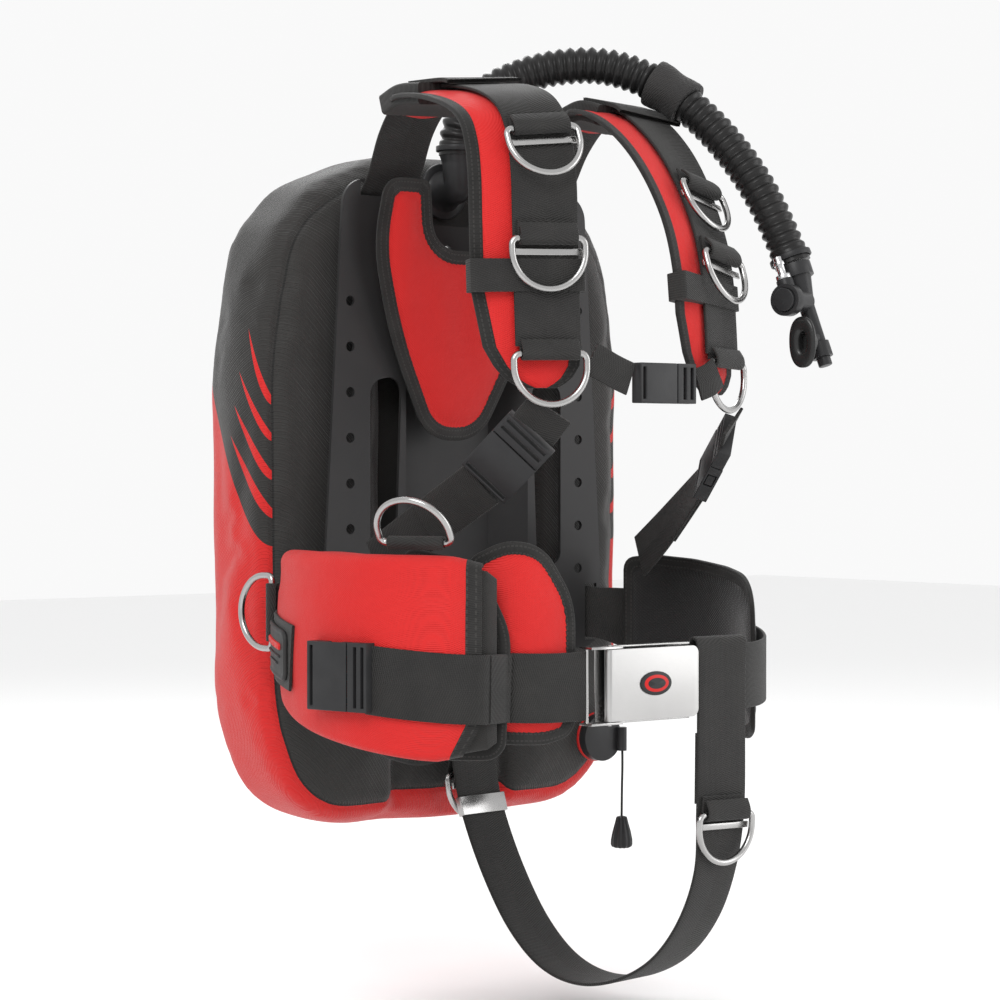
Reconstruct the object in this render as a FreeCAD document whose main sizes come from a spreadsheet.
"""Buoyancy compensator vest: backplate, wing, webbing harness, inflator hose and hardware.

Frame: +X to the wearer's left, +Y backwards (towards the tank), +Z up, millimetres.
Origin: midway between the two tank bolt holes, inside the floor of the backplate's channel.
Pieces are drawn with y = 0 at the front of the plate, and moved to the origin at the end.
"""
import FreeCAD, Part
import math
import os
from FreeCAD import Matrix, Placement, Rotation, Vector

doc = FreeCAD.newDocument("BuoyancyVest")

# ---------------------------------------------------------------- driving dimensions
SIZES = {
    "webbing_width": (50.8, "two-inch harness webbing"),
    "webbing_thick": (2.5, "harness webbing"),
    "strap_width": (38.0, "lower shoulder straps"),
    "chest_width": (25.4, "sternum strap"),
    "clearance": (0.35, "gap between neighbouring pieces"),
    "plate_thick": (3.0, "backplate sheet"),
    "plate_height": (380.0, "backplate top to bottom"),
    "plate_top_half": (122.0, "backplate half width at the top"),
    "plate_low_half": (140.0, "backplate half width at the bottom"),
    "channel_depth": (28.0, "how far the centre channel stands back"),
    "channel_half": (42.0, "half width of the channel floor"),
    "flange_start": (62.0, "where the flat side flanges begin"),
    "bolt_spacing": (279.4, "eleven inches between the tank bolts"),
    "bolt_hole": (4.25, "radius of a tank bolt hole"),
    "side_hole": (4.0, "radius of an accessory hole"),
    "side_pitch": (36.0, "pitch of the accessory holes"),
    "side_column": (116.0, "distance of the hole columns from the middle"),
    "wing_front": (20.0, "front face of the wing"),
    "wing_depth": (90.0, "wing thickness when filled"),
    "wing_skin": (2.5, "wing cover fabric with lining"),
    "wing_web_front": (31.4, "front of the wing's centre web"),
    "wing_web_back": (35.4, "back of the wing's centre web"),
    "valley_half": (58.0, "half width of the tank valley"),
    "pad_thick": (9.0, "shoulder pad"),
    "pad_outer": (56.0, "shoulder pad edge towards the wearer's right"),
    "pad_inner": (28.0, "shoulder pad edge towards the wearer's left"),
    "ring_wire": (2.5, "wire radius of the D-rings"),
    "ring_half": (28.0, "half width of a D-ring, wire centre"),
    "ring_depth": (37.0, "depth of a D-ring, wire centre"),
    "ring_corner": (5.0, "corner radius of a D-ring"),
    "roll_skin": (2.2, "webbing rolled over a ring bar"),
    "belt_level": (-199.0, "height of the waist belt in front"),
    "belt_front": (-226.0, "waist belt in front of the plate"),
    "hose_radius": (15.0, "outer radius of the corrugated hose"),
    "pin_radius": (1.5, "waist buckle pin"),
    "running_gap": (0.06, "radial play of a turning fit"),
    "tilt_hose": (20.0, "forward lean of the inflator"),
    "turn_hose": (17.0, "turn of the inflator about the vertical"),
    "bolt_depth": (30.0, "the origin's depth in the channel floor, behind the plate's front"),
}
sheet = doc.addObject("Spreadsheet::Sheet", "Sizes")
for row, (alias, (value, note)) in enumerate(SIZES.items(), start=1):
    sheet.set("A%d" % row, alias)
    sheet.set("B%d" % row, str(value))
    sheet.set("C%d" % row, note)
    sheet.setAlias("B%d" % row, alias)
doc.recompute()
size = {alias: float(sheet.get(alias)) for alias in SIZES}
GAP = size["clearance"]
THICK = size["webbing_thick"]
HALF_WEB = size["webbing_width"] / 2
parts = {}


# ---------------------------------------------------------------- small helpers
def keep(obj, label):
    """Registers a document object as one sub-part."""
    obj.Label = label
    parts[label] = obj
    return obj


def feature(label, shape):
    """A sub-part whose shape is worked out here."""
    return keep(with_shape(label, shape), label)


def with_shape(name, shape):
    obj = doc.addObject("Part::Feature", name)
    obj.Shape = shape
    return obj


def bind(obj, **rules):
    """Binds properties to cells; a double underscore in a name stands for a dot."""
    for prop, rule in rules.items():
        obj.setExpression(prop.replace("__", "."), rule)
    return obj


def block(x0, x1, y0, y1, z0, z1):
    return Part.makeBox(x1 - x0, y1 - y0, z1 - z0, Vector(x0, y0, z0))


def rod(radius, start, end):
    start, end = Vector(*start), Vector(*end)
    return Part.makeCylinder(radius, (end - start).Length, start, end - start)


def rounded(points):
    """Closed wire of lines and tangent arcs through (u, v, radius) corners, in the XZ plane."""
    edges = []
    ends = []
    count = len(points)
    for i in range(count):
        before, here, after = points[i - 1], points[i], points[(i + 1) % count]
        corner = Vector(here[0], 0, here[1])
        back = (Vector(before[0], 0, before[1]) - corner).normalize()
        ahead = (Vector(after[0], 0, after[1]) - corner).normalize()
        half = back.getAngle(ahead) / 2
        if here[2] == 0:
            ends.append((corner, corner, None))
            continue
        reach = here[2] / math.tan(half)
        middle = corner + (back + ahead).normalize() * (here[2] / math.sin(half) - here[2])
        ends.append((corner + back * reach, corner + ahead * reach, middle))
    for i in range(count):
        start, finish, middle = ends[i]
        if middle is not None:
            edges.append(Part.Arc(start, middle, finish).toShape())
        following = ends[(i + 1) % count][0]
        if (following - finish).Length > 1e-6:
            edges.append(Part.LineSegment(finish, following).toShape())
    return Part.Wire(edges)


def slab(points, front, back):
    """A rounded outline in the XZ plane, extruded from y = front to y = back."""
    wire = rounded(points)
    wire.translate(Vector(0, front, 0))
    return Part.Face(wire).extrude(Vector(0, back - front, 0))


def mirror_points(points):
    """Adds the mirror image of a half outline, so that it closes."""
    return points + [(-x, z, r) for x, z, r in reversed(points)]


def ribbon(stations, low, high, under, over, steps=1):
    """A strap: stations are (point, across, outward); low/high run across, under/over outward.

    Each of the four may be a number or a list with one value for each station. More steps
    between stations bring a twisted strap closer to its neighbour's surface.
    """
    def at(value, i):
        return value[i] if isinstance(value, (list, tuple)) else value

    main = []
    for i, (point, across, outward) in enumerate(stations):
        corners = [(low, under), (high, under), (high, over), (low, over)]
        main.append([point + across * at(a, i) + outward * at(n, i) for a, n in corners])
    rings = [main[0]]
    for ring, following in zip(main, main[1:]):
        for k in range(1, steps + 1):
            rings.append([a + (b - a) * (k / steps) for a, b in zip(ring, following)])
    faces = [rings[0][::-1], rings[-1]]
    triangles = []
    for ring, following in zip(rings, rings[1:]):
        for k in range(4):
            j = (k + 1) % 4
            triangles.append((ring[k], ring[j], following[j]))
            triangles.append((ring[k], following[j], following[k]))
    for face in faces:
        triangles.append((face[0], face[1], face[2]))
        triangles.append((face[0], face[2], face[3]))
    made = [Part.Face(Part.makePolygon([a, b, c, a])) for a, b, c in triangles]
    solid = Part.makeSolid(Part.makeShell(made))
    if solid.Volume < 0:
        solid.reverse()
    return solid


def path_frames(points, side_hint, twists=None):
    """Stations along a path: across starts as side_hint, and is turned about the path by twists."""
    stations = []
    for i, here in enumerate(points):
        before = points[max(i - 1, 0)]
        after = points[min(i + 1, len(points) - 1)]
        along = (Vector(*after) - Vector(*before)).normalize()
        hint = Vector(*(side_hint[i] if isinstance(side_hint, list) else side_hint))
        across = (hint - along * hint.dot(along)).normalize()
        outward = along.cross(across).normalize()
        if twists:
            turn = Rotation(along, twists[i])
            across, outward = turn.multVec(across), turn.multVec(outward)
        stations.append((Vector(*here), across, outward))
    return stations


def seat(station, drop=0.0):
    """Placement whose X runs across a strap, Z down along it and -Y outward from its face."""
    point, across, outward = station
    down = across.cross(outward)
    frame = Matrix(across.x, -outward.x, -down.x, point.x,
                   across.y, -outward.y, -down.y, point.y,
                   across.z, -outward.z, -down.z, point.z,
                   0, 0, 0, 1)
    return Placement(frame).multiply(Placement(Vector(0, 0, -drop), Rotation()))


def placed(shape, place):
    """A copy of a shape carried to a placement."""
    moved = shape.copy()
    moved.transformShape(place.toMatrix(), True)
    return moved


def tube_path(points, label):
    """Straight runs joined by tangent arcs as large as the shorter run allows."""
    corner = [Vector(*p) for p in points]
    edges = []
    start = corner[0]
    radii = []
    for before, here, after in zip(corner, corner[1:], corner[2:]):
        back, ahead = before - here, after - here
        reach = 0.45 * min(back.Length, ahead.Length)
        half_turn = (math.pi - back.getAngle(ahead)) / 2
        radius = reach / math.tan(half_turn)
        radii.append(round(radius, 1))
        back.normalize()
        ahead.normalize()
        enter, leave = here + back * reach, here + ahead * reach
        inward = (back + ahead).normalize()
        middle = here + inward * (radius / math.cos(half_turn) - radius)
        edges.append(Part.LineSegment(start, enter).toShape())
        edges.append(Part.Arc(enter, middle, leave).toShape())
        start = leave
    edges.append(Part.LineSegment(start, corner[-1]).toShape())
    wire = Part.Wire(edges)
    print(label, "length", round(wire.Length, 1), "arc radii", radii)
    return wire


def hose_solid(points, radius, label):
    wire = tube_path(points, label)
    along = wire.OrderedEdges[0].tangentAt(wire.OrderedEdges[0].FirstParameter)
    ring = Part.Wire(Part.Circle(Vector(*points[0]), along, radius).toShape())
    solid = wire.makePipeShell([ring], True, True)
    expected = math.pi * radius ** 2 * wire.Length
    print(label, "volume against section times length:", round(solid.Volume / expected, 4))
    return solid


# ---------------------------------------------------------------- backplate
def backplate():
    """Folded steel sheet: a floor of channel, two sloping sides and two flat flanges."""
    body = doc.addObject("PartDesign::Body", "folded_sheet")
    planes = {p.Role: p for p in body.Origin.OriginFeatures}
    profile = body.newObject("Sketcher::SketchObject", "plate_section")
    profile.AttachmentSupport = [(planes["XY_Plane"], "")]
    profile.MapMode = "FlatFace"
    thick, depth = size["plate_thick"], size["channel_depth"]
    floor, flange = size["channel_half"], size["flange_start"]
    wide = size["plate_low_half"] + 2
    lean = 1.3
    front = [(-wide, 0), (-flange, 0), (-floor, depth), (floor, depth), (flange, 0), (wide, 0)]
    back = [(wide, thick), (flange + lean, thick), (floor + lean, depth + thick),
            (-floor - lean, depth + thick), (-flange - lean, thick), (-wide, thick)]
    loop = front + back
    for (x0, y0), (x1, y1) in zip(loop, loop[1:] + loop[:1]):
        profile.addGeometry(Part.LineSegment(Vector(x0, y0, 0), Vector(x1, y1, 0)), False)
    pad = body.newObject("PartDesign::Pad", "plate_sheet")
    pad.Profile = profile
    pad.Midplane = True
    bind(pad, Length="Sizes.plate_height")
    doc.recompute()

    top, half_high = size["plate_height"] / 2, size["plate_height"] / 2
    reach = size["channel_depth"] + 20
    outline = mirror_points([(46, 160, 10), (52, top, 8), (size["plate_top_half"], top, 22),
                             (size["plate_low_half"], -120, 40),
                             (size["plate_low_half"], -half_high, 20)])
    blank = with_shape("plate_blank", slab(outline, -10, reach))
    trimmed = doc.addObject("Part::Common", "plate_trimmed")
    trimmed.Base, trimmed.Tool = body, blank

    cuts = []
    for side in (-1, 1):
        window = [(66, 36, 12), (97, 30, 13), (97, -118, 11), (72, -122, 10)]
        cuts.append(slab([(side * x, z, r) for x, z, r in window], -10, 15))
        cuts.append(block(side * 78 - 28, side * 78 + 28, -10, 15, 177, 187.5))
        cuts.append(block(*sorted((side * 123.5, side * 136)), -10, 15, -183.5, -136))
        for step in range(-3, 4):
            level = -15 + step * size["side_pitch"]
            cuts.append(rod(size["side_hole"], (side * size["side_column"], -10, level),
                            (side * size["side_column"], 15, level)))
    cuts.append(block(-28, 28, 20, 40, -183, -175))
    for end in (-1, 1):
        level = end * size["bolt_spacing"] / 2
        cuts.append(rod(size["bolt_hole"], (0, 20, level), (0, 40, level)))
    tools = with_shape("plate_cuts", Part.makeCompound(cuts))
    plate = doc.addObject("Part::Cut", "plate_finished")
    plate.Base, plate.Tool = trimmed, tools
    return keep(plate, "backplate")


# ---------------------------------------------------------------- wing
WING_HALF = [(78, 217, 160), (168, 168, 95), (194, 60, 400), (191, -240, 190), (150, -326, 74)]
GROMMET_RADIUS = 11.5
EYELET_RADIUS = 8.0
EYELET_PLAY = 0.1
RIM_THICK = 1.2


def inset(points, amount):
    """Moves each corner of the right half of the wing inward, keeping it convex."""
    return [(x - amount, z - math.copysign(amount, z) * (1 if abs(z) > 150 else 0), r - amount / 2)
            for x, z, r in points]


def wing_form(amount):
    """The wing's solid form, every face moved inward by an amount."""
    front, back = size["wing_front"] + amount, size["wing_front"] + size["wing_depth"] - amount
    form = slab(mirror_points(inset(WING_HALF, amount)), front, back)
    notch = size["flange_start"] + 2 + amount
    form = form.cut(block(-notch, notch, 0, size["wing_web_front"] + amount, -400, 400))
    valley = size["valley_half"] + amount
    low, high = -215 - amount, 170 + amount
    inner = size["wing_web_back"] - amount
    return form.cut(block(-valley, valley, inner, 200, low, high))


def wing():
    """Outer cover cut into front panel, gusset and back panel, with the gas bladder inside."""
    skin = size["wing_skin"]
    cover = wing_form(0).cut(wing_form(skin))
    holes, grommets = [], []
    near, far = size["wing_web_front"], size["wing_web_back"]
    for end in (-1, 1):
        level = end * size["bolt_spacing"] / 2
        holes.append(rod(EYELET_RADIUS, (0, near - 10, level), (0, far + 10, level)))
        ring = rod(EYELET_RADIUS - EYELET_PLAY, (0, near, level), (0, far, level))
        ring = ring.fuse(rod(GROMMET_RADIUS, (0, far, level), (0, far + RIM_THICK, level)))
        hole = rod(size["bolt_hole"], (0, near - 10, level), (0, far + 10, level))
        grommets.append(ring.cut(hole))
    cover = cover.cut(Part.makeCompound(holes))
    elbow_x, elbow_z = ELBOW[0], ELBOW[2]
    gas_port = rod(9.0, (elbow_x, 20, elbow_z), (elbow_x, 45, elbow_z))
    valve_port = rod(11.0, (VALVE[0], 10, VALVE[2]), (VALVE[0], 30, VALVE[2]))
    cover = cover.cut(Part.makeCompound([gas_port, valve_port]))
    seam_front = size["wing_web_back"] + 0.6
    seam_back = size["wing_front"] + size["wing_depth"] - 14
    spans = (("wing_front_panel", 0, seam_front), ("wing_gusset", seam_front, seam_back),
             ("wing_back_panel", seam_back, 200))
    for label, near, far in spans:
        feature(label, cover.common(block(-300, 300, near, far, -400, 400)))
    bladder = wing_form(skin + 0.5).cut(wing_form(skin + 2.0))
    feature("wing_bladder", bladder.cut(Part.makeCompound([gas_port, valve_port])))
    feature("wing_grommets", Part.makeCompound(grommets))


# ---------------------------------------------------------------- harness paths
SHOULDER_RIGHT = [(6, 177), (1.5, 180.8), (-11, 197), (-28, 224), (-52, 242), (-88, 250),
                  (-128, 249), (-166, 242), (-192, 229), (-207, 207), (-213, 178),
                  (-215, 140), (-217, 92), (-219, 50)]
SHOULDER_LEFT = [(6, 177), (1.5, 180.8), (-11, 197), (-28, 224), (-50, 243), (-80, 250),
                 (-112, 241), (-139, 222), (-163, 197), (-182, 168), (-197, 138),
                 (-206, 106), (-210, 76), (-212, 48)]
PAD_START = 4
PAD_GAP = 1.6
TWIST_STEPS = 3


def shoulder_frames(side):
    points = SHOULDER_RIGHT if side < 0 else SHOULDER_LEFT
    if side < 0:
        spread = [78, 78, 79, 81, 84, 87, 89, 90, 91, 92, 92, 92, 92, 92]
    else:
        spread = [78, 78, 79, 81, 84, 87, 89, 89, 88, 87, 86, 85, 84, 84]
    twist = [0, 0, 0, 0, 0, 2, 5, 9, 13, 17, 19, 20, 20, 20]
    path = [(side * x, y, z) for x, (y, z) in zip(spread, points)]
    return path_frames(path, (1, 0, 0), [-side * t for t in twist])


def pad_frames(side):
    """The shoulder pad follows the webbing and runs on below its end."""
    frames = shoulder_frames(side)
    point, across, outward = frames[-1]
    down = across.cross(outward)
    tip = [(point + down * reach, across, outward) for reach in (14, 30)]
    return frames[PAD_START:] + tip


BELT_PLAN = [(-117, 13, -160), (-129, 1.5, -160), (-150, -16, -165), (-167, -45, -173),
             (-177, -85, -180), (-178, -125, -187), (-169, -161, -192), (-150, -190, -196),
             (-124, -213, -198), (-96, -224, -199), (-64, -226, -199)]


def belt_frames(side):
    path = [(-side * x, y, z) for x, y, z in BELT_PLAN]
    if side > 0:
        path = path + [(30, -226, -199), (0, -226, -199), (-38, -226, -199)]
    frames = []
    for i, here in enumerate(path):
        before, after = path[max(i - 1, 0)], path[min(i + 1, len(path) - 1)]
        along = Vector(after[0] - before[0], after[1] - before[1], 0).normalize()
        outward = Vector(along.y, -along.x, 0) if side < 0 else Vector(-along.y, along.x, 0)
        frames.append((Vector(*here), Vector(0, 0, 1), outward))
    return frames


# ---------------------------------------------------------------- D-rings and their rolls
def ring_shape():
    """D-ring with its bar along X at the origin and its bow hanging down."""
    half, corner, depth = size["ring_half"], size["ring_corner"], size["ring_depth"]
    bar = half - corner
    bow = depth - half
    slant = corner * (1 - math.sqrt(0.5))
    right_mid = Vector(half - slant, 0, -slant)
    left_mid = Vector(-half + slant, 0, -slant)
    edges = [
        Part.LineSegment(Vector(-bar, 0, 0), Vector(bar, 0, 0)).toShape(),
        Part.Arc(Vector(bar, 0, 0), right_mid, Vector(half, 0, -corner)).toShape(),
        Part.LineSegment(Vector(half, 0, -corner), Vector(half, 0, -bow)).toShape(),
        Part.Arc(Vector(half, 0, -bow), Vector(0, 0, -depth), Vector(-half, 0, -bow)).toShape(),
        Part.LineSegment(Vector(-half, 0, -bow), Vector(-half, 0, -corner)).toShape(),
        Part.Arc(Vector(-half, 0, -corner), left_mid, Vector(-bar, 0, 0)).toShape(),
    ]
    wire = Part.Wire(edges)
    section = Part.Wire(Part.Circle(Vector(0, 0, 0), Vector(1, 0, 0), size["ring_wire"]).toShape())
    return wire.makePipeShell([section], True, True)


def roll_shape(footed):
    """Webbing rolled over a ring bar, with a short stitched foot under it where it has room."""
    bore = size["ring_wire"] + GAP
    outer = bore + size["roll_skin"]
    half = size["ring_half"] - size["ring_corner"] - 0.8
    roll = rod(outer, (-half, 0, 0), (half, 0, 0))
    if footed:
        roll = roll.fuse(block(-half, half, bore - 0.3, outer, 0, 14))
    return roll.cut(rod(bore, (-half - 1, 0, 0), (half + 1, 0, 0))).removeSplitter()


ROLL_STAND = size["ring_wire"] + GAP + size["roll_skin"] + GAP


def ring_place(station, surface, drop=0.0):
    """Where a ring's bar sits when its roll lies on a strap face at the given height."""
    return seat(station, drop).multiply(Placement(Vector(0, -(surface + ROLL_STAND), 0), Rotation()))


RING_REPORT = []


def add_ring(label, place, rolls, bars):
    feature(label, placed(ring_shape(), place))
    rolls.append(placed(roll_shape(bars is not None), place))
    foot = size["ring_wire"] + GAP + size["roll_skin"]
    bar = block(-27, 27, foot - 2.0, foot, -12, -7)
    if bars is not None:
        bars.append(placed(bar, place))
    centre = place.Base
    axis = place.Rotation.multVec(Vector(1, 0, 0))
    facing = place.Rotation.multVec(Vector(0, -1, 0))
    RING_REPORT.append((label, [round(v, 2) for v in centre], [round(v, 4) for v in axis],
                        [round(v, 3) for v in facing]))


# ---------------------------------------------------------------- side-release buckles
def buckle_shapes(half, long):
    """Socket, plug and two spring arms; +Z is the way the plug slides in, X is across."""
    thick = 5.5
    wall = 3.4
    socket = block(-half, half, -thick, thick, 0, long)
    socket = socket.cut(block(-half + wall, half - wall, -3.6, 3.6, -1, long - 8))
    for side in (-1, 1):
        window = sorted((side * (half - wall - 1), side * (half + 1)))
        socket = socket.cut(block(*window, -3.6, 3.6, 8, 21))
    socket = socket.cut(block(-half + 3, half - 3, -9, 9, long - 5.5, long - 2.5))
    plug = block(-half, half, -thick + 0.5, thick - 0.5, -19, -1)
    plug = plug.cut(block(-half + 3, half - 3, -9, 9, -16.5, -13.5))
    plug = plug.cut(block(-half + 3, half - 3, -9, 9, -9.5, -6.5))
    plug = plug.fuse(block(-2.5, 2.5, -2, 2, -1.5, long - 12))
    arms = []
    for side in (-1, 1):
        stem = block(*sorted((side * (half - 9.5), side * (half - 6))), -3, 3, -0.6, 20)
        tip = block(*sorted((side * (half - 6.5), side * (half - 0.6))), -3, 3, 9.5, 19.5)
        arms.append(stem.fuse(tip).removeSplitter())
    return socket, plug.removeSplitter(), arms


ARM_REPORT = []


def add_buckle(name, place, half, long, sockets, plugs):
    socket, plug, arms = buckle_shapes(half, long)
    sockets.append(placed(socket, place))
    plugs.append(placed(plug, place))
    for side, arm in zip((-1, 1), arms):
        label = "%s_latch_%s" % (name, "a" if side < 0 else "b")
        feature(label, placed(arm, place))
        hinge = place.multVec(Vector(side * (half - 7.75), 0, 0))
        axis = place.Rotation.multVec(Vector(0, 1, 0))
        ARM_REPORT.append((label, [round(v, 2) for v in hinge], [round(v, 4) for v in axis], side))


# ---------------------------------------------------------------- route points
ELBOW = (-4.0, 10.0, 188.0)
VALVE = (148.0, 20.0, -268.0)
HOSE_ROUTE = [(-4, 10, 216), (-4, 10, 237), (3, 0, 257), (23, -17, 275), (52, -41, 287),
              (84, -70, 289), (110, -100, 275), (128, -131, 250), (141, -159, 219),
              (151, -182, 185), (158, -199, 151), (163, -210, 122)]
DUMP_ROUTE = [(166, 2, -264), (166.6, 1.6, -288), (166.4, 2.4, -312), (165.8, 2, -336)]


# ---------------------------------------------------------------- more harness helpers
def face_frames(points, outwards):
    """Stations whose faces look along the given directions as nearly as the path allows."""
    stations = []
    for i, here in enumerate(points):
        before = points[max(i - 1, 0)]
        after = points[min(i + 1, len(points) - 1)]
        along = (Vector(*after) - Vector(*before)).normalize()
        across = Vector(*outwards[i]).cross(along).normalize()
        stations.append((Vector(*here), across, along.cross(across).normalize()))
    return stations


def between(frames, where):
    """The station at a fractional index, on the straight run between two stations."""
    i = min(int(where), len(frames) - 2)
    t = where - i
    return tuple(a * (1 - t) + b * t for a, b in zip(frames[i], frames[i + 1]))


def stretch(frames, start, finish):
    """The part of a list of stations from one fractional index to another."""
    inner = [frames[i] for i in range(math.ceil(start + 1e-6), math.ceil(finish - 1e-6))]
    return [between(frames, start)] + inner + [between(frames, finish)]


def band(frames, start, finish, low, high, under, over, skin):
    """A sleeve of webbing round everything between low..high and under..over."""
    outer = ribbon(stretch(frames, start, finish), low - skin, high + skin,
                   under - skin, over + skin)
    reach = 0.4
    inner = ribbon(stretch(frames, max(start - reach, 0), finish + reach),
                   low, high, under, over)
    return outer.cut(inner)


# ---------------------------------------------------------------- shoulders and back pad
def shoulders():
    rolls, bars, bands, lower_rings = [], [], [], []
    pad_low = -size["pad_outer"]
    pad_high = size["pad_inner"]
    for side, name in ((-1, "right"), (1, "left")):
        frames = shoulder_frames(side)
        feature("shoulder_webbing_" + name, ribbon(frames, -HALF_WEB, HALF_WEB, 0, THICK, TWIST_STEPS))
        pad = pad_frames(side)
        count = len(pad)
        low = [pad_low * 0.62, pad_low * 0.9] + [pad_low] * (count - 5) + [-48, -40, -26]
        high = [pad_high] * (count - 3) + [28, 26, 16]
        feature("shoulder_pad_" + name,
                ribbon(pad, low, high, -size["pad_thick"] - PAD_GAP, -PAD_GAP,
                       TWIST_STEPS))
        spots = ((9, 0.0), (11, 12.0)) if side < 0 else ((9, -9.0), (10, 17.0))
        for (index, drop), level in zip(spots, ("upper", "middle")):
            add_ring("ring_%s_%s" % (level, name), ring_place(frames[index], THICK, drop),
                     rolls, bars)
        start, finish = (11.62, 11.98) if side < 0 else (11.12, 11.62)
        bands.append(band(frames, start, finish, pad_low - GAP, pad_high + GAP,
                          -size["pad_thick"] - PAD_GAP - GAP, THICK + GAP, 1.6))
        point, across, outward = frames[-1]
        end_place = seat((point + outward * (ROLL_STAND - GAP), across, outward), 5.8)
        lower_rings.append(placed(ring_shape(), end_place))
        rolls.append(placed(roll_shape(False), end_place))
    feature("pad_bands", Part.makeCompound(bands))
    feature("rings_lower", Part.makeCompound(lower_rings))
    return rolls, bars


def back_pad():
    """Padded yoke between the shoulder straps, leaning back into the channel at its foot."""
    middle, lean, pivot = -18, 5.6, 60
    half = [(30, 137, 26), (37, 192, 8), (80, 192, 16), (88, 138, 120), (68, 66, 340),
            (27, -16, 38)]
    pad = slab(mirror_points(half), -16, -4)
    pad.translate(Vector(middle, 0, 0))
    pad.rotate(Vector(0, 0, pivot), Vector(1, 0, 0), lean)
    feature("back_pad", pad)


# ---------------------------------------------------------------- hip level
def hips(rolls):
    for side, name in ((-1, "right"), (1, "left")):
        frames = belt_frames(side)
        half = [21.5] * 2 + [HALF_WEB] * (len(frames) - 2)
        feature("belt_webbing_" + name, ribbon(frames, [-v for v in half], half, 0, THICK))
        pad = stretch(frames, 2.1, 6.95)
        feature("hip_pad_" + name, ribbon(pad, [-34, -46, -58, -66, -66, -52],
                                          [52, 62, 66, 68, 66, 40], -14, -1.0 - GAP))
    frames = belt_frames(-1)
    backing = stretch(frames, 7.1, 9.88)
    feature("pocket_backing", ribbon(backing, [-40, -42, -42, -36], [92, 108, 103, 62], -11, -1.2))


POCKET_SPAN = (2.5, 7.5)
POCKET_OUT = [28, 37, 42, 43, 40, 34, 27]
POCKET_LOW = [-40, -44, -50, -52, -54, -54, -50]
POCKET_HIGH = [60, 72, 80, 86, 91, 94, 90]


def pocket(rolls, sockets, plugs):
    frames = belt_frames(-1)
    base = THICK + 0.6
    skin = 2.5
    span = stretch(frames, *POCKET_SPAN)
    box = ribbon(span, POCKET_LOW, POCKET_HIGH, base, POCKET_OUT)

    def shrunk(amount, end):
        inner = stretch(frames, POCKET_SPAN[0] + end, POCKET_SPAN[1] - end)
        return ribbon(inner, [v + amount for v in POCKET_LOW], [v - amount for v in POCKET_HIGH],
                      base + amount, [v - amount for v in POCKET_OUT])

    feature("weight_pocket", box.cut(shrunk(skin, 0.12)))
    feature("weight_pouch", shrunk(skin + 0.6, 0.14))

    face = [v + GAP for v in POCKET_OUT]
    rear = span[1:3]
    strap_rear = ribbon([rear[0], between(rear, 0.95)], -24, 24, face[1:3], [v + THICK for v in face[1:3]])
    front = [between(span, 4.35), span[5], span[6]]
    low_face = [face[4] * 0.65 + face[5] * 0.35, face[5], face[6]]
    strap_front = ribbon(front, -24, 24, low_face, [v + THICK for v in low_face])
    feature("pocket_straps", Part.makeCompound([strap_rear, strap_front]))
    patch_face = [v + THICK + GAP for v in face[1:3]]
    patch = ribbon([between(rear, 0.06), between(rear, 0.86)], -21, 21,
                   patch_face, [v + 2.0 for v in patch_face])
    feature("pocket_patch", patch)

    point, across, outward = between(span, 3.45)
    stand = face[3] * 0.5 + face[4] * 0.5 + 7.2
    station = (point + outward * stand, across.normalize(), outward.normalize())
    add_buckle("pocket_buckle", seat(station), 25, 38, sockets, plugs)

    rear_bar = Placement(Vector(-201, -18, -149),
                         Rotation(Vector(0, 0, -1), Vector(0.99, 0.12, 0),
                                  Vector(0.12, -0.99, 0), "XYZ"))
    add_ring("ring_pocket_rear", rear_bar, rolls, None)
    point, across, outward = between(span, 4.35)
    along = across.cross(outward).normalize()
    rise = (outward.normalize() * 0.55 + Vector(0, 0, 1) * 0.835).normalize()
    top_bar = Placement(point + outward * 26 + Vector(0, 0, 101),
                        Rotation(along, (rise * -1).cross(along), rise * -1, "XYZ"))
    add_ring("ring_pocket_top", top_bar, rolls, None)


# ---------------------------------------------------------------- waist buckle
def waist_buckle():
    """Cam buckle of stainless sheet: base, two ears, loop bar, hinge pin and cover lever."""
    face = size["belt_front"]
    top, foot = size["belt_level"] + 27.2, size["belt_level"] - 27.2
    base = block(-52, 37, face + 0.8, face + 2.3, foot, top)
    ears = []
    for low, high in ((top, top + 1.6), (foot - 1.6, foot)):
        ears.append(block(-66, -36, -238, face + 2.3, low, high))
        ears.append(block(-40, 37, face - 3.2, face + 2.3, low, high))
    bar = rod(1.5, (-62, face - 1.2, foot), (-62, face - 1.2, top))
    frame = base.multiFuse(ears + [bar]).removeSplitter()
    pin_x, pin_y = -46, -234
    hole = rod(size["pin_radius"], (pin_x, pin_y, foot - 5), (pin_x, pin_y, top + 5))
    feature("waist_buckle", frame.cut(hole))
    feature("waist_pin", rod(size["pin_radius"], (pin_x, pin_y, foot - 2.6),
                             (pin_x, pin_y, top + 2.6)))
    knuckle = rod(3.6, (pin_x, pin_y, foot + 0.5), (pin_x, pin_y, top - 0.5))
    plate = slab([(-46, foot + 0.5, 0), (-46, top - 0.5, 0), (39, top - 0.5, 6),
                  (39, foot + 0.5, 6)], -237.6, -236)
    lip = block(37.4, 39, -236.4, -229.5, foot + 8, top - 8)
    lever = knuckle.multiFuse([plate, lip])
    turning = rod(size["pin_radius"] + size["running_gap"], (pin_x, pin_y, foot - 5),
                  (pin_x, pin_y, top + 5))
    feature("waist_lever", lever.cut(turning).removeSplitter())


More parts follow.
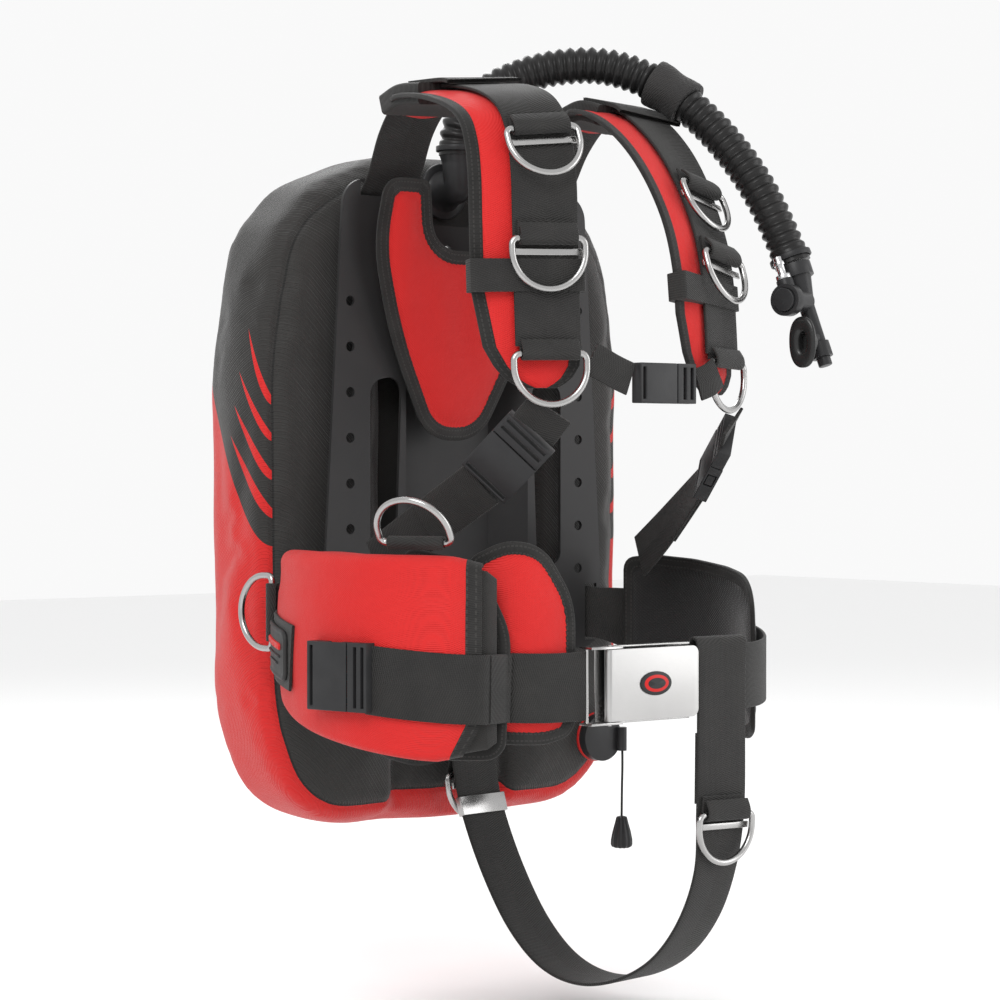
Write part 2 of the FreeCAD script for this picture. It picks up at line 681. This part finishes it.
# ---------------------------------------------------------------- crotch strap
CROTCH = [(4, 20, -183), (7, 12, -215), (8.5, 6, -250), (9.5, 2, -285), (11, -9, -322),
          (15, -30, -366), (21, -55, -405), (28, -84, -431), (36, -117, -441), (45, -152, -436),
          (54, -186, -417), (60, -212, -385), (65, -226, -345), (67, -229.8, -300),
          (68, -229.6, -240), (68, -229.6, -200)]
LOOP_RADIUS = 3.2
LOOP_TURNS = 8


def crotch(rolls, bars):
    x, y, _ = CROTCH[-1]
    level = size["belt_level"] + HALF_WEB + 1.2
    over = [(x, y + LOOP_RADIUS * (1 - math.cos(math.pi * k / LOOP_TURNS)),
             level + LOOP_RADIUS * math.sin(math.pi * k / LOOP_TURNS))
            for k in range(LOOP_TURNS + 1)]
    path = CROTCH + over + [(x, y + 2 * LOOP_RADIUS, level - 48)]
    sides = [(0.98, 0.19, 0)] * 9 + [(0.985, 0.16, 0)] * 4 + [(1, 0.04, 0)] * 3
    sides += [(1, 0, 0)] * (len(path) - len(sides))
    frames = path_frames(path, sides)
    feature("crotch_strap", ribbon(frames, -HALF_WEB, HALF_WEB, -THICK, 0))
    for name, index, drop, facing in (("rear", 3, 2.0, 1), ("front", 13, 2.0, 1)):
        point, across, outward = frames[index]
        if name == "front":
            station = (point, across, outward * -1)
        else:
            station = (point, across * -1, outward * -1)
        place = ring_place(station, THICK, drop)
        add_ring("ring_crotch_" + name, place, rolls, bars)
    keeper = band(frames, 3.55, 3.95, -HALF_WEB - GAP, HALF_WEB + GAP, -THICK - GAP, GAP, 1.2)
    bars.append(keeper)


# ---------------------------------------------------------------- chest and lower straps
def chest(sockets, plugs):
    half = size["chest_width"] / 2
    right = face_frames([(-60, -230, 42), (-42, -233, 33), (-26, -234, 27)],
                        [(-0.2, -1, 0), (0, -1, 0), (0, -1, 0)])
    left = face_frames([(41, -234, 24), (52, -235, 28), (61, -234, 34)],
                       [(0, -1, 0), (0, -1, 0), (0.2, -1, 0)])
    straps = [ribbon(frames, -half, half, -THICK / 2, THICK / 2) for frames in (right, left)]
    feature("sternum_straps", Part.makeCompound(straps))
    place = Placement(Vector(16, -234, 24.5),
                      Rotation(Vector(0, 0, 1), Vector(0, 1, 0), Vector(-1, 0, 0), "XYZ"))
    add_buckle("sternum_buckle", place, 15, 36, sockets, plugs)


LOWER = [(92, -222, 4), (97, -207, -12), (108, -166, -48), (124, -104, -86), (133, -60, -112)]
LOWER_FACE = [(0.34, -0.94, 0), (0.42, -0.9, 0), (0.62, -0.78, 0), (0.86, -0.5, 0), (0.96, -0.3, 0)]


def lower_straps(sockets, plugs):
    half = size["strap_width"] / 2
    straps = []
    for side, name in ((-1, "right"), (1, "left")):
        points = [(side * x, y, z) for x, y, z in LOWER]
        faces = [(side * x, y, z) for x, y, z in LOWER_FACE]
        frames = face_frames(points, faces)
        buckle_length = 58.0
        run = (frames[2][0] - frames[1][0]).Length
        top = 0 if side < 0 else 0.5
        upper = ribbon(stretch(frames, top, 0.93), -half, half, -THICK / 2, THICK / 2)
        lower = ribbon(stretch(frames, 1 + (buckle_length + 0.6) / run, 4),
                       -half, half, -THICK / 2, THICK / 2)
        straps += [upper, lower]
        along = (frames[2][0] - frames[1][0]).normalize()
        outward = Vector(*faces[2])
        across = outward.cross(along).normalize()
        outward = along.cross(across).normalize()
        start = frames[1][0] + along * 19.6
        station = (start, across, outward)
        place = seat(station)
        turned = place.multiply(Placement(Vector(0, 0, 0), Rotation(Vector(1, 0, 0), 180)))
        add_buckle("shoulder_buckle_" + name, turned, 22, 38, sockets, plugs)
    feature("lower_straps", Part.makeCompound(straps))


# ---------------------------------------------------------------- inflator and valve
def inflator():
    x, y, z = ELBOW
    elbow = rod(23, (x, size["wing_web_front"] - 0.4, z), (x, 26.5, z))
    neck = rod(13, (x, 27, z), (x, y, z))
    knuckle = Part.makeSphere(13, Vector(x, y, z))
    spout = rod(11, (x, y, z), (x, y, HOSE_ROUTE[0][2] - 0.3))
    stub = rod(8.5, (x, 26, z), (x, 43, z))
    feature("inflator_elbow", elbow.multiFuse([neck, knuckle, spout, stub]).removeSplitter())
    feature("inflator_hose", hose_solid(HOSE_ROUTE, size["hose_radius"], "inflator_hose"))

    clamps = []
    for end, inward in ((HOSE_ROUTE[0], HOSE_ROUTE[1]), (HOSE_ROUTE[-1], HOSE_ROUTE[-2])):
        start = Vector(*end)
        along = (Vector(*inward) - start).normalize()
        a, b = start + along * 3, start + along * 7.5
        outer = Part.makeCylinder(size["hose_radius"] + 1.9, 4.5, a, along)
        clamps.append(outer.cut(Part.makeCylinder(size["hose_radius"] + GAP, 12, a - along * 3, along)))
    feature("hose_clamps", Part.makeCompound(clamps))

    middle = Vector(119.5, -115, 262.5)
    along = (Vector(*HOSE_ROUTE[7]) - Vector(*HOSE_ROUTE[6])).normalize()
    sleeve = Part.makeCylinder(19.6, 36, middle - along * 18, along)
    sleeve = sleeve.cut(Part.makeCylinder(17.2, 60, middle - along * 30, along))
    feature("hose_keeper", sleeve)

    place = Placement(Vector(*HOSE_ROUTE[-1]), Rotation(Vector(0, 0, 1), size["turn_hose"]))
    place = place.multiply(Placement(Vector(), Rotation(Vector(1, 0, 0), -size["tilt_hose"])))
    neck = rod(13.5, (0, 0, -1.5), (0, 0, -12))
    trunk = Part.makeCone(6.2, 11, 24, Vector(0, 0, -36), Vector(0, 0, 1))
    tube = rod(6.2, (0, 0, -36), (0, 0, -68))
    foot = rod(8.2, (0, 0, -67), (0, 0, -79))
    barrel = rod(8.5, (0, 0, -32), (-27, 0, -32))
    head = rod(12.5, (-24, 0, -32), (-33, 0, -32))
    feed = rod(6.6, (-23, 0, -32), (-23, 0, -15))
    spout = rod(5, (0, 0, -62), (-13.4, 0, -66))
    body = neck.multiFuse([trunk, tube, foot, barrel, head, feed, spout])
    body = body.cut(rod(9.4, (-26, 0, -32), (-40, 0, -32)))
    body = body.cut(rod(5.9, (0, 0, -70), (0, 0, -90)))
    feature("inflator_body", placed(body.removeSplitter(), place))
    inflate = rod(9.0, (-28.8, 0, -32), (-35.5, 0, -32))
    feature("inflate_button", placed(inflate, place))
    deflate = rod(5.5, (0, 0, -73), (0, 0, -86))
    feature("deflate_button", placed(deflate, place))
    nipple = rod(3.4, (-23, 0, -15), (-23, 0, 4)).fuse(rod(4.4, (-23, 0, -3), (-23, 0, 0)))
    nipple = nipple.fuse(rod(6.0, (-23, 0, -14.6), (-23, 0, -11)))
    feature("quick_connect", placed(nipple.removeSplitter(), place))

    def oval(long, short, near, far):
        straight = (long - short) / 2
        r = short / 2
        form = rod(r, (near, 0, straight), (far, 0, straight))
        form = form.fuse(rod(r, (near, 0, -straight), (far, 0, -straight)))
        return form.fuse(block(*sorted((near, far)), -r, r, -straight, straight)).removeSplitter()

    flange = oval(40, 23, 0, -3)
    socket = oval(24, 14, 10, -1)
    hole = oval(15, 6.5, 6, -5)
    bore = rod(5.3, (3, 0, 0), (14, 0, 0))
    mouth = flange.fuse(socket).cut(hole).cut(bore)
    mouth.rotate(Vector(0, 0, 0), Vector(1, 0, 0), 18)
    mouth.translate(Vector(-24, 0, -67))
    mouth = mouth.cut(placed(body, Placement()))
    feature("mouthpiece", placed(mouth, place))
    return place


def dump_valve():
    x, y, z = VALVE
    base = rod(19, (x, y - 0.4, z), (x, y - 3, z))
    neck = rod(10.6, (x, y - 1, z), (x, y + 7, z))
    cap = rod(20, (x, y - 3, z), (x, y - 15, z))
    guide = rod(4.2, (166, 2, z + 8), (166, 2, z - 12))
    valve = base.multiFuse([neck, cap, guide]).removeSplitter()
    feature("dump_valve", valve.cut(rod(2.0, (166, 2, z + 5), (166, 2, z - 20))))
    feature("dump_cord", hose_solid(DUMP_ROUTE, 1.0, "dump_cord"))
    foot = DUMP_ROUTE[-1]
    knob = Part.makeCone(5, 9.5, 24, Vector(foot[0], foot[1], foot[2]), Vector(0, 0, -1))
    knob = knob.fuse(rod(9.5, (foot[0], foot[1], foot[2] - 24), (foot[0], foot[1], foot[2] - 27)))
    feature("dump_knob", knob.removeSplitter())


# ---------------------------------------------------------------- assembly and export
backplate()
wing()
rolls, bars = shoulders()
back_pad()
hips(rolls)
sockets, plugs = [], []
pocket(rolls, sockets, plugs)
waist_buckle()
crotch(rolls, bars)
chest(sockets, plugs)
lower_straps(sockets, plugs)
place = inflator()
dump_valve()
feature("ring_rolls", Part.makeCompound(rolls))
feature("slide_bars", Part.makeCompound(bars))
feature("buckle_sockets", Part.makeCompound(sockets))
feature("buckle_plugs", Part.makeCompound(plugs))

doc.recompute()
to_origin = Placement(Vector(0, -size["bolt_depth"], 0), Rotation())
for obj in parts.values():
    obj.Placement = to_origin.multiply(obj.Placement)
doc.recompute()
for obj in doc.Objects:
    if {"Invalid", "Error"} & set(obj.State):
        raise RuntimeError("failed object: " + obj.Label)
os.makedirs("parts", exist_ok=True)
for label, obj in parts.items():
    shape = obj.Shape
    if shape.isNull() or not shape.isValid() or not shape.Solids:
        raise RuntimeError("bad shape: " + label)
    shape.exportStep("parts/%s.step" % label)
print(len(parts), "sub-parts written")
for row in RING_REPORT + ARM_REPORT:
    print(*row)
print("inflator", place.Base, place.Rotation.multVec(Vector(-1, 0, 0)),
      place.Rotation.multVec(Vector(0, 0, 1)), place.multVec(Vector(-23, 0, 4)))
